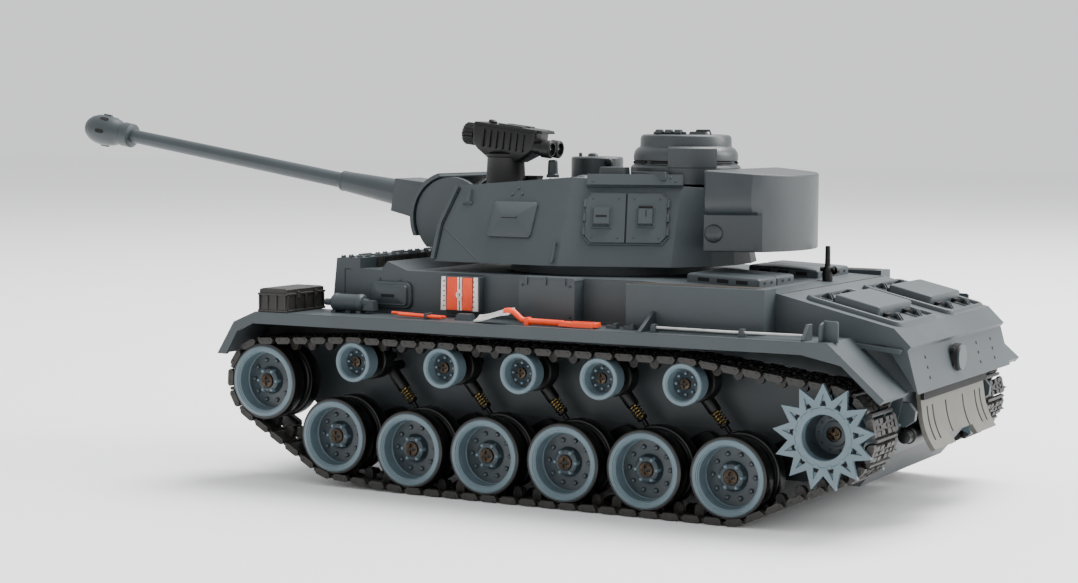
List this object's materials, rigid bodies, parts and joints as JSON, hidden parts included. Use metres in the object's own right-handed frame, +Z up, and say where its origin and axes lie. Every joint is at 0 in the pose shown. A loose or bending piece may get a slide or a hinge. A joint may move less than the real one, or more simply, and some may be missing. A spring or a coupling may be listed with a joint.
{
  "type": "radio-controlled tank",
  "caption": "Radio-controlled tank with turning turret, tilting gun, sprung twin road wheels on swing arms, return rollers, drive sprockets and closed tracks.",
  "frame": {"origin": "on the surface the tracks stand on, under the middle of the model's bounding box", "axes": "+X forward along the gun, +Y to the model's left, +Z up"},
  "size_m": [0.413, 0.1606, 0.1448],
  "materials": {
    "hull_grey": "matte moulded slate grey",
    "wheel_blue": "satin blue-grey",
    "track_link": "dark brown-black",
    "black_plastic": "satin black",
    "chassis_grey": "light grey",
    "screw_steel": "bronzed steel",
    "orange_plastic": "orange paint",
    "battery_wrap": "shrink wrap",
    "board_green": "solder mask",
    "gear_case": "moulded natural"
  },
  "bodies": {
    "hull": {"battery_pack": "battery_wrap", "circuit_board": "board_green", "engine_deck_covers": "hull_grey", "fender_boxes": "hull_grey", "fender_tools": "orange_plastic", "lower_hull": "chassis_grey", "motor_units": "gear_case", "rear_deflector": "chassis_grey", "roller_axles": "screw_steel", "shock_absorbers": "black_plastic", "track_left": "track_link", "track_right": "track_link", "upper_hull": "hull_grey"},
    "turret": {"turret_shell": "hull_grey", "turret_base": "hull_grey", "stowage_bin": "hull_grey", "cupola_and_hatch": "hull_grey", "roof_sight": "black_plastic"},
    "gun": {"mantlet": "hull_grey", "gun_barrel": "hull_grey", "muzzle_brake": "hull_grey"},
    "switch": {"power_switch": "black_plastic"},
    "drive_left": {"drive_sprocket_left": "wheel_blue"},
    "idler_left": {"idler_wheel_left": "wheel_blue"},
    "roller_5_left": {"return_roller_5_left": "wheel_blue"},
    "roller_4_left": {"return_roller_4_left": "wheel_blue"},
    "roller_3_left": {"return_roller_3_left": "wheel_blue"},
    "roller_2_left": {"return_roller_2_left": "wheel_blue"},
    "roller_1_left": {"return_roller_1_left": "wheel_blue"},
    "arm_6_left": {"swing_arm_6_left": "black_plastic"},
    "wheel_6_left": {"road_wheel_6_left": "wheel_blue"},
    "arm_5_left": {"swing_arm_5_left": "black_plastic"},
    "wheel_5_left": {"road_wheel_5_left": "wheel_blue"},
    "arm_4_left": {"swing_arm_4_left": "black_plastic"},
    "wheel_4_left": {"road_wheel_4_left": "wheel_blue"},
    "arm_3_left": {"swing_arm_3_left": "black_plastic"},
    "wheel_3_left": {"road_wheel_3_left": "wheel_blue"},
    "arm_2_left": {"swing_arm_2_left": "black_plastic"},
    "wheel_2_left": {"road_wheel_2_left": "wheel_blue"},
    "arm_1_left": {"swing_arm_1_left": "black_plastic"},
    "wheel_1_left": {"road_wheel_1_left": "wheel_blue"},
    "drive_right": {"drive_sprocket_right": "wheel_blue"},
    "idler_right": {"idler_wheel_right": "wheel_blue"},
    "roller_5_right": {"return_roller_5_right": "wheel_blue"},
    "roller_4_right": {"return_roller_4_right": "wheel_blue"},
    "roller_3_right": {"return_roller_3_right": "wheel_blue"},
    "roller_2_right": {"return_roller_2_right": "wheel_blue"},
    "roller_1_right": {"return_roller_1_right": "wheel_blue"},
    "arm_6_right": {"swing_arm_6_right": "black_plastic"},
    "wheel_6_right": {"road_wheel_6_right": "wheel_blue"},
    "arm_5_right": {"swing_arm_5_right": "black_plastic"},
    "wheel_5_right": {"road_wheel_5_right": "wheel_blue"},
    "arm_4_right": {"swing_arm_4_right": "black_plastic"},
    "wheel_4_right": {"road_wheel_4_right": "wheel_blue"},
    "arm_3_right": {"swing_arm_3_right": "black_plastic"},
    "wheel_3_right": {"road_wheel_3_right": "wheel_blue"},
    "arm_2_right": {"swing_arm_2_right": "black_plastic"},
    "wheel_2_right": {"road_wheel_2_right": "wheel_blue"},
    "arm_1_right": {"swing_arm_1_right": "black_plastic"},
    "wheel_1_right": {"road_wheel_1_right": "wheel_blue"}
  },
  "joints": [
    {"name": "turret_turn", "type": "hinge", "parent": "hull", "child": "turret", "pos_m": [-0.0598, 0, 0.0877], "axis": [0, 0, 1], "range_deg": [-160, 160]},
    {"name": "gun_elevate", "type": "hinge", "parent": "turret", "child": "gun", "pos_m": [0.0016, 0, 0.1033], "axis": [0, -1, 0], "range_deg": [-12, 12]},
    {"name": "switch_slide", "type": "slide", "parent": "hull", "child": "switch", "axis": [1, 0, 0], "range_m": [0, 0.004]},
    {"name": "drive_left_spin", "type": "hinge", "parent": "hull", "child": "drive_left", "pos_m": [-0.17986, 0.06, 0.0346], "axis": [0, 1, 0], "continuous": true},
    {"name": "idler_left_spin", "type": "hinge", "parent": "hull", "child": "idler_left", "pos_m": [0.0554, 0.06, 0.0394], "axis": [0, 1, 0], "continuous": true},
    {"name": "roller_5_left_spin", "type": "hinge", "parent": "hull", "child": "roller_5_left", "pos_m": [-0.1258, 0.06, 0.0493], "axis": [0, 1, 0], "continuous": true},
    {"name": "roller_4_left_spin", "type": "hinge", "parent": "hull", "child": "roller_4_left", "pos_m": [-0.09257, 0.06, 0.0493], "axis": [0, 1, 0], "continuous": true},
    {"name": "roller_3_left_spin", "type": "hinge", "parent": "hull", "child": "roller_3_left", "pos_m": [-0.05934, 0.06, 0.0493], "axis": [0, 1, 0], "continuous": true},
    {"name": "roller_2_left_spin", "type": "hinge", "parent": "hull", "child": "roller_2_left", "pos_m": [-0.02611, 0.06, 0.0493], "axis": [0, 1, 0], "continuous": true},
    {"name": "roller_1_left_spin", "type": "hinge", "parent": "hull", "child": "roller_1_left", "pos_m": [0.0134, 0.06, 0.0493], "axis": [0, 1, 0], "continuous": true},
    {"name": "arm_6_left_swing", "type": "hinge", "parent": "hull", "child": "arm_6_left", "pos_m": [-0.1568, 0.048, 0.0247], "axis": [0, -1, 0], "range_deg": [0, 8], "stiffness_Nm_per_rad": 0.4, "springref_deg": -5.73},
    {"name": "wheel_6_left_spin", "type": "hinge", "parent": "arm_6_left", "child": "wheel_6_left", "pos_m": [-0.1438, 0.06, 0.0173], "axis": [0, 1, 0], "continuous": true},
    {"name": "arm_5_left_swing", "type": "hinge", "parent": "hull", "child": "arm_5_left", "pos_m": [-0.1238, 0.048, 0.0247], "axis": [0, -1, 0], "range_deg": [0, 8], "stiffness_Nm_per_rad": 0.4, "springref_deg": -5.73},
    {"name": "wheel_5_left_spin", "type": "hinge", "parent": "arm_5_left", "child": "wheel_5_left", "pos_m": [-0.1108, 0.06, 0.0173], "axis": [0, 1, 0], "continuous": true},
    {"name": "arm_4_left_swing", "type": "hinge", "parent": "hull", "child": "arm_4_left", "pos_m": [-0.0908, 0.048, 0.0247], "axis": [0, -1, 0], "range_deg": [0, 8], "stiffness_Nm_per_rad": 0.4, "springref_deg": -5.73},
    {"name": "wheel_4_left_spin", "type": "hinge", "parent": "arm_4_left", "child": "wheel_4_left", "pos_m": [-0.0778, 0.06, 0.0173], "axis": [0, 1, 0], "continuous": true},
    {"name": "arm_3_left_swing", "type": "hinge", "parent": "hull", "child": "arm_3_left", "pos_m": [-0.0578, 0.048, 0.0247], "axis": [0, -1, 0], "range_deg": [0, 8], "stiffness_Nm_per_rad": 0.4, "springref_deg": -5.73},
    {"name": "wheel_3_left_spin", "type": "hinge", "parent": "arm_3_left", "child": "wheel_3_left", "pos_m": [-0.0448, 0.06, 0.0173], "axis": [0, 1, 0], "continuous": true},
    {"name": "arm_2_left_swing", "type": "hinge", "parent": "hull", "child": "arm_2_left", "pos_m": [-0.0248, 0.048, 0.0247], "axis": [0, -1, 0], "range_deg": [0, 8], "stiffness_Nm_per_rad": 0.4, "springref_deg": -5.73},
    {"name": "wheel_2_left_spin", "type": "hinge", "parent": "arm_2_left", "child": "wheel_2_left", "pos_m": [-0.0118, 0.06, 0.0173], "axis": [0, 1, 0], "continuous": true},
    {"name": "arm_1_left_swing", "type": "hinge", "parent": "hull", "child": "arm_1_left", "pos_m": [0.0094, 0.048, 0.0247], "axis": [0, -1, 0], "range_deg": [0, 8], "stiffness_Nm_per_rad": 0.4, "springref_deg": -5.73},
    {"name": "wheel_1_left_spin", "type": "hinge", "parent": "arm_1_left", "child": "wheel_1_left", "pos_m": [0.0224, 0.06, 0.0199], "axis": [0, 1, 0], "continuous": true},
    {"name": "drive_right_spin", "type": "hinge", "parent": "hull", "child": "drive_right", "pos_m": [-0.17986, -0.06, 0.0346], "axis": [0, 1, 0], "continuous": true},
    {"name": "idler_right_spin", "type": "hinge", "parent": "hull", "child": "idler_right", "pos_m": [0.0554, -0.06, 0.0394], "axis": [0, 1, 0], "continuous": true},
    {"name": "roller_5_right_spin", "type": "hinge", "parent": "hull", "child": "roller_5_right", "pos_m": [-0.1258, -0.06, 0.0493], "axis": [0, 1, 0], "continuous": true},
    {"name": "roller_4_right_spin", "type": "hinge", "parent": "hull", "child": "roller_4_right", "pos_m": [-0.09257, -0.06, 0.0493], "axis": [0, 1, 0], "continuous": true},
    {"name": "roller_3_right_spin", "type": "hinge", "parent": "hull", "child": "roller_3_right", "pos_m": [-0.05934, -0.06, 0.0493], "axis": [0, 1, 0], "continuous": true},
    {"name": "roller_2_right_spin", "type": "hinge", "parent": "hull", "child": "roller_2_right", "pos_m": [-0.02611, -0.06, 0.0493], "axis": [0, 1, 0], "continuous": true},
    {"name": "roller_1_right_spin", "type": "hinge", "parent": "hull", "child": "roller_1_right", "pos_m": [0.0134, -0.06, 0.0493], "axis": [0, 1, 0], "continuous": true},
    {"name": "arm_6_right_swing", "type": "hinge", "parent": "hull", "child": "arm_6_right", "pos_m": [-0.1568, -0.048, 0.0247], "axis": [0, -1, 0], "range_deg": [0, 8], "stiffness_Nm_per_rad": 0.4, "springref_deg": -5.73},
    {"name": "wheel_6_right_spin", "type": "hinge", "parent": "arm_6_right", "child": "wheel_6_right", "pos_m": [-0.1438, -0.06, 0.0173], "axis": [0, 1, 0], "continuous": true},
    {"name": "arm_5_right_swing", "type": "hinge", "parent": "hull", "child": "arm_5_right", "pos_m": [-0.1238, -0.048, 0.0247], "axis": [0, -1, 0], "range_deg": [0, 8], "stiffness_Nm_per_rad": 0.4, "springref_deg": -5.73},
    {"name": "wheel_5_right_spin", "type": "hinge", "parent": "arm_5_right", "child": "wheel_5_right", "pos_m": [-0.1108, -0.06, 0.0173], "axis": [0, 1, 0], "continuous": true},
    {"name": "arm_4_right_swing", "type": "hinge", "parent": "hull", "child": "arm_4_right", "pos_m": [-0.0908, -0.048, 0.0247], "axis": [0, -1, 0], "range_deg": [0, 8], "stiffness_Nm_per_rad": 0.4, "springref_deg": -5.73},
    {"name": "wheel_4_right_spin", "type": "hinge", "parent": "arm_4_right", "child": "wheel_4_right", "pos_m": [-0.0778, -0.06, 0.0173], "axis": [0, 1, 0], "continuous": true},
    {"name": "arm_3_right_swing", "type": "hinge", "parent": "hull", "child": "arm_3_right", "pos_m": [-0.0578, -0.048, 0.0247], "axis": [0, -1, 0], "range_deg": [0, 8], "stiffness_Nm_per_rad": 0.4, "springref_deg": -5.73},
    {"name": "wheel_3_right_spin", "type": "hinge", "parent": "arm_3_right", "child": "wheel_3_right", "pos_m": [-0.0448, -0.06, 0.0173], "axis": [0, 1, 0], "continuous": true},
    {"name": "arm_2_right_swing", "type": "hinge", "parent": "hull", "child": "arm_2_right", "pos_m": [-0.0248, -0.048, 0.0247], "axis": [0, -1, 0], "range_deg": [0, 8], "stiffness_Nm_per_rad": 0.4, "springref_deg": -5.73},
    {"name": "wheel_2_right_spin", "type": "hinge", "parent": "arm_2_right", "child": "wheel_2_right", "pos_m": [-0.0118, -0.06, 0.0173], "axis": [0, 1, 0], "continuous": true},
    {"name": "arm_1_right_swing", "type": "hinge", "parent": "hull", "child": "arm_1_right", "pos_m": [0.0094, -0.048, 0.0247], "axis": [0, -1, 0], "range_deg": [0, 8], "stiffness_Nm_per_rad": 0.4, "springref_deg": -5.73},
    {"name": "wheel_1_right_spin", "type": "hinge", "parent": "arm_1_right", "child": "wheel_1_right", "pos_m": [0.0224, -0.06, 0.0199], "axis": [0, 1, 0], "continuous": true}
  ],
  "couplings": [
    {"joint": "idler_left_spin", "follows": "drive_left_spin", "ratio": 1.1382},
    {"joint": "roller_5_left_spin", "follows": "drive_left_spin", "ratio": 2.2614},
    {"joint": "roller_4_left_spin", "follows": "drive_left_spin", "ratio": 2.2614},
    {"joint": "roller_3_left_spin", "follows": "drive_left_spin", "ratio": 2.2614},
    {"joint": "roller_2_left_spin", "follows": "drive_left_spin", "ratio": 2.2614},
    {"joint": "roller_1_left_spin", "follows": "drive_left_spin", "ratio": 2.2614},
    {"joint": "wheel_6_left_spin", "follows": "drive_left_spin", "ratio": 1.1572},
    {"joint": "wheel_5_left_spin", "follows": "drive_left_spin", "ratio": 1.1572},
    {"joint": "wheel_4_left_spin", "follows": "drive_left_spin", "ratio": 1.1572},
    {"joint": "wheel_3_left_spin", "follows": "drive_left_spin", "ratio": 1.1572},
    {"joint": "wheel_2_left_spin", "follows": "drive_left_spin", "ratio": 1.1572},
    {"joint": "wheel_1_left_spin", "follows": "drive_left_spin", "ratio": 1.1572},
    {"joint": "idler_right_spin", "follows": "drive_right_spin", "ratio": 1.1382},
    {"joint": "roller_5_right_spin", "follows": "drive_right_spin", "ratio": 2.2614},
    {"joint": "roller_4_right_spin", "follows": "drive_right_spin", "ratio": 2.2614},
    {"joint": "roller_3_right_spin", "follows": "drive_right_spin", "ratio": 2.2614},
    {"joint": "roller_2_right_spin", "follows": "drive_right_spin", "ratio": 2.2614},
    {"joint": "roller_1_right_spin", "follows": "drive_right_spin", "ratio": 2.2614},
    {"joint": "wheel_6_right_spin", "follows": "drive_right_spin", "ratio": 1.1572},
    {"joint": "wheel_5_right_spin", "follows": "drive_right_spin", "ratio": 1.1572},
    {"joint": "wheel_4_right_spin", "follows": "drive_right_spin", "ratio": 1.1572},
    {"joint": "wheel_3_right_spin", "follows": "drive_right_spin", "ratio": 1.1572},
    {"joint": "wheel_2_right_spin", "follows": "drive_right_spin", "ratio": 1.1572},
    {"joint": "wheel_1_right_spin", "follows": "drive_right_spin", "ratio": 1.1572}
  ]
}
